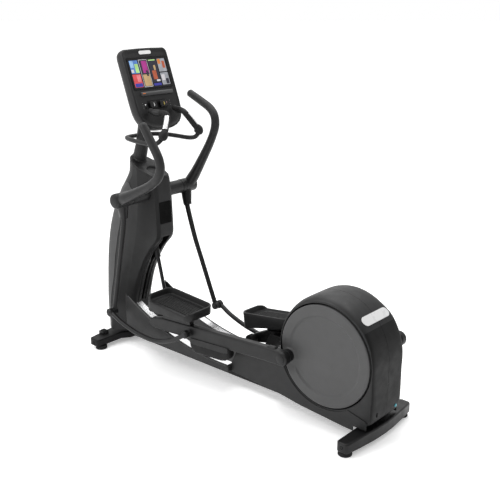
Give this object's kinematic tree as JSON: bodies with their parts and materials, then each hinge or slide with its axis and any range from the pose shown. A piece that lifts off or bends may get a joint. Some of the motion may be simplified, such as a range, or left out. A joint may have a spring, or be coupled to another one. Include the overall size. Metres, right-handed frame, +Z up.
{
  "type": "elliptical trainer",
  "caption": "Rear-drive elliptical trainer with an inclining roller track, linked foot arms and handlebars, a tower with a console and fixed contact grips.",
  "frame": {"origin": "centre of the bounding box's footprint, on the floor", "axes": "+X to the rear, where the drive is; -X to the front, where the console is; +Z up; the user faces -X, so +Y is the user's right"},
  "size_m": [1.985, 0.6961, 1.7932],
  "materials": {
    "charcoal_plastic": "satin moulded",
    "black_plastic": "satin moulded",
    "grey_plastic": "satin moulded",
    "charcoal_paint": "satin powder coat",
    "steel": "brushed",
    "rubber": "matt",
    "white_plastic": "gloss",
    "screen": "gloss"
  },
  "bodies": {
    "base": {"base_frame": "charcoal_paint", "ramp_pivot_pin": "steel", "left_crank_bearing": "steel", "right_crank_bearing": "steel", "front_crossfoot": "charcoal_paint", "rear_crossfoot": "charcoal_paint", "front_left_levelling_foot": "rubber", "front_right_levelling_foot": "rubber", "rear_left_levelling_foot": "rubber", "rear_right_levelling_foot": "rubber", "left_side_panel": "charcoal_plastic", "right_side_panel": "charcoal_plastic", "left_drive_cover": "charcoal_plastic", "right_drive_cover": "charcoal_plastic", "rear_badge": "white_plastic", "drive_belt": "rubber", "tower_frame": "charcoal_paint", "tower_front_cover": "charcoal_plastic", "tower_rear_cover": "black_plastic", "tower_top": "black_plastic", "handlebar_cross_tube": "charcoal_plastic", "mast": "black_plastic", "console_fascia": "black_plastic", "console_housing": "charcoal_plastic", "display_screen": "screen", "console_badge": "white_plastic", "left_contact_grip": "rubber", "right_contact_grip": "rubber", "grip_hoop": "black_plastic"},
    "ramp": {"ramp_frame": "charcoal_paint", "left_track_strip": "steel", "right_track_strip": "steel"},
    "crank": {"crank_shaft": "steel", "left_crank_disc": "grey_plastic", "right_crank_disc": "grey_plastic"},
    "generator": {"generator": "steel"},
    "lift_tube": {"lift_tube": "charcoal_paint"},
    "lift_rod": {"lift_rod": "steel"},
    "left_carriage": {"left_roller_axle": "steel"},
    "left_roller": {"left_roller": "rubber"},
    "left_arm_bush": {"left_arm_bush": "steel"},
    "left_foot_arm": {"left_foot_arm": "charcoal_paint", "left_pedal": "black_plastic"},
    "left_hub_shaft": {"left_hub_shaft": "steel"},
    "left_handlebar": {"left_handlebar": "charcoal_paint"},
    "left_link_pin": {"left_link_pin": "steel"},
    "left_link": {"left_link": "charcoal_paint"},
    "left_transport_wheel": {"left_transport_wheel": "rubber"},
    "left_toggle": {"left_toggle": "black_plastic"},
    "right_carriage": {"right_roller_axle": "steel"},
    "right_roller": {"right_roller": "rubber"},
    "right_arm_bush": {"right_arm_bush": "steel"},
    "right_foot_arm": {"right_foot_arm": "charcoal_paint", "right_pedal": "black_plastic"},
    "right_hub_shaft": {"right_hub_shaft": "steel"},
    "right_handlebar": {"right_handlebar": "charcoal_paint"},
    "right_link_pin": {"right_link_pin": "steel"},
    "right_link": {"right_link": "charcoal_paint"},
    "right_transport_wheel": {"right_transport_wheel": "rubber"},
    "right_toggle": {"right_toggle": "black_plastic"}
  },
  "joints": [
    {"name": "incline", "type": "hinge", "parent": "base", "child": "ramp", "pos_m": [0.4105, 0, 0.35], "axis": [0, 1, 0], "range_deg": [0, 20]},
    {"name": "stride", "type": "hinge", "parent": "ramp", "child": "left_carriage", "pos_m": [0.0345, 0, 1.645], "axis": [0, 1, 0], "range_deg": [-18.7, 0]},
    {"name": "left_roller_spin", "type": "hinge", "parent": "left_carriage", "child": "left_roller", "pos_m": [-0.45589, -0.125, 0.28044], "axis": [0, 1, 0], "continuous": true},
    {"name": "left_arm_swing", "type": "hinge", "parent": "left_carriage", "child": "left_arm_bush", "pos_m": [-0.45589, -0.158, 0.28044], "axis": [0, 1, 0], "range_deg": [0, 6.9]},
    {"name": "left_arm_tilt", "type": "hinge", "parent": "left_arm_bush", "child": "left_foot_arm", "pos_m": [-0.45589, -0.19, 0.28044], "axis": [0, 1, 0], "range_deg": [-1.72, 0]},
    {"name": "left_hub_swing", "type": "hinge", "parent": "base", "child": "left_hub_shaft", "pos_m": [-0.6245, -0.25, 0.985], "axis": [0, 1, 0], "range_deg": [-35.32, 0]},
    {"name": "left_handlebar_shift", "type": "hinge", "parent": "left_hub_shaft", "child": "left_handlebar", "pos_m": [-0.6245, -0.25, 0.985], "axis": [0, 1, 0], "range_deg": [-5.71, 0]},
    {"name": "left_link_swing", "type": "hinge", "parent": "left_handlebar", "child": "left_link_pin", "pos_m": [-0.80022, -0.235, 0.25896], "axis": [0, 1, 0], "range_deg": [0, 40.33]},
    {"name": "left_link_shift", "type": "hinge", "parent": "left_link_pin", "child": "left_link", "pos_m": [-0.80022, -0.235, 0.25896], "axis": [0, 1, 0], "range_deg": [-14.47, 0]},
    {"name": "left_wheel_spin", "type": "hinge", "parent": "base", "child": "left_transport_wheel", "pos_m": [-0.9475, -0.18, 0.062], "axis": [0, 1, 0], "continuous": true},
    {"name": "left_toggle_press", "type": "hinge", "parent": "base", "child": "left_toggle", "pos_m": [-0.56154, -0.046, 1.49878], "axis": [0, 1, 0], "range_deg": [-5, 5], "stiffness_Nm_per_rad": 0.25},
    {"name": "right_stride", "type": "hinge", "parent": "ramp", "child": "right_carriage", "pos_m": [0.0345, 0, 1.645], "axis": [0, 1, 0], "range_deg": [0, 18.71]},
    {"name": "right_roller_spin", "type": "hinge", "parent": "right_carriage", "child": "right_roller", "pos_m": [0.00762, 0.125, 0.19525], "axis": [0, 1, 0], "continuous": true},
    {"name": "right_arm_swing", "type": "hinge", "parent": "right_carriage", "child": "right_arm_bush", "pos_m": [0.00762, 0.158, 0.19525], "axis": [0, 1, 0], "range_deg": [-6.9, 0]},
    {"name": "right_arm_tilt", "type": "hinge", "parent": "right_arm_bush", "child": "right_foot_arm", "pos_m": [0.00762, 0.19, 0.19525], "axis": [0, 1, 0], "range_deg": [-10.95, 3.5]},
    {"name": "right_hub_swing", "type": "hinge", "parent": "base", "child": "right_hub_shaft", "pos_m": [-0.6245, 0.25, 0.985], "axis": [0, 1, 0], "range_deg": [0, 35.32]},
    {"name": "right_handlebar_shift", "type": "hinge", "parent": "right_hub_shaft", "child": "right_handlebar", "pos_m": [-0.6245, 0.25, 0.985], "axis": [0, 1, 0], "range_deg": [0, 1.1]},
    {"name": "right_link_swing", "type": "hinge", "parent": "right_handlebar", "child": "right_link_pin", "pos_m": [-0.34816, 0.235, 0.29099], "axis": [0, 1, 0], "range_deg": [-40.33, 0]},
    {"name": "right_link_shift", "type": "hinge", "parent": "right_link_pin", "child": "right_link", "pos_m": [-0.34816, 0.235, 0.29099], "axis": [0, 1, 0], "range_deg": [-10.53, 3.5]},
    {"name": "right_wheel_spin", "type": "hinge", "parent": "base", "child": "right_transport_wheel", "pos_m": [-0.9475, 0.18, 0.062], "axis": [0, 1, 0], "continuous": true},
    {"name": "right_toggle_press", "type": "hinge", "parent": "base", "child": "right_toggle", "pos_m": [-0.56154, 0.028, 1.49878], "axis": [0, 1, 0], "range_deg": [-5, 5], "stiffness_Nm_per_rad": 0.25},
    {"name": "crank_spin", "type": "hinge", "parent": "base", "child": "crank", "pos_m": [0.7075, 0, 0.396], "axis": [0, 1, 0], "continuous": true},
    {"name": "generator_spin", "type": "hinge", "parent": "base", "child": "generator", "pos_m": [0.4575, 0, 0.22], "axis": [0, 1, 0], "continuous": true},
    {"name": "lift_swing", "type": "hinge", "parent": "base", "child": "lift_tube", "pos_m": [-0.7025, 0, 0.93], "axis": [0, 1, 0], "range_deg": [-17.79, 0]},
    {"name": "lift_travel", "type": "slide", "parent": "lift_tube", "child": "lift_rod", "axis": [0.2337, 0, -0.9723], "range_m": [-0.2971, 0]}
  ],
  "couplings": [
    {"joint": "left_roller_spin", "follows": "stride", "ratio": -42.429},
    {"joint": "left_arm_swing", "follows": "stride", "ratio": -0.36897},
    {"joint": "left_arm_tilt", "follows": "incline", "ratio": -0.085837},
    {"joint": "left_hub_swing", "follows": "stride", "ratio": 1.8881},
    {"joint": "left_handlebar_shift", "follows": "incline", "ratio": -0.28554},
    {"joint": "left_link_swing", "follows": "stride", "ratio": -2.1561},
    {"joint": "left_link_shift", "follows": "incline", "ratio": -0.72327},
    {"joint": "right_stride", "follows": "stride", "ratio": -1},
    {"joint": "right_roller_spin", "follows": "stride", "ratio": 42.429},
    {"joint": "right_arm_swing", "follows": "stride", "ratio": 0.36897},
    {"joint": "right_arm_tilt", "follows": "incline", "ratio": -0.54754},
    {"joint": "right_hub_swing", "follows": "stride", "ratio": -1.8881},
    {"joint": "right_handlebar_shift", "follows": "incline", "ratio": 0.0551},
    {"joint": "right_link_swing", "follows": "stride", "ratio": 2.1561},
    {"joint": "right_link_shift", "follows": "incline", "ratio": -0.52658},
    {"joint": "crank_spin", "follows": "stride", "ratio": 9.6231},
    {"joint": "generator_spin", "follows": "stride", "ratio": 32.077},
    {"joint": "lift_swing", "follows": "incline", "ratio": -0.88923},
    {"joint": "lift_travel", "follows": "incline", "m_per_rad": -0.84959}
  ]
}
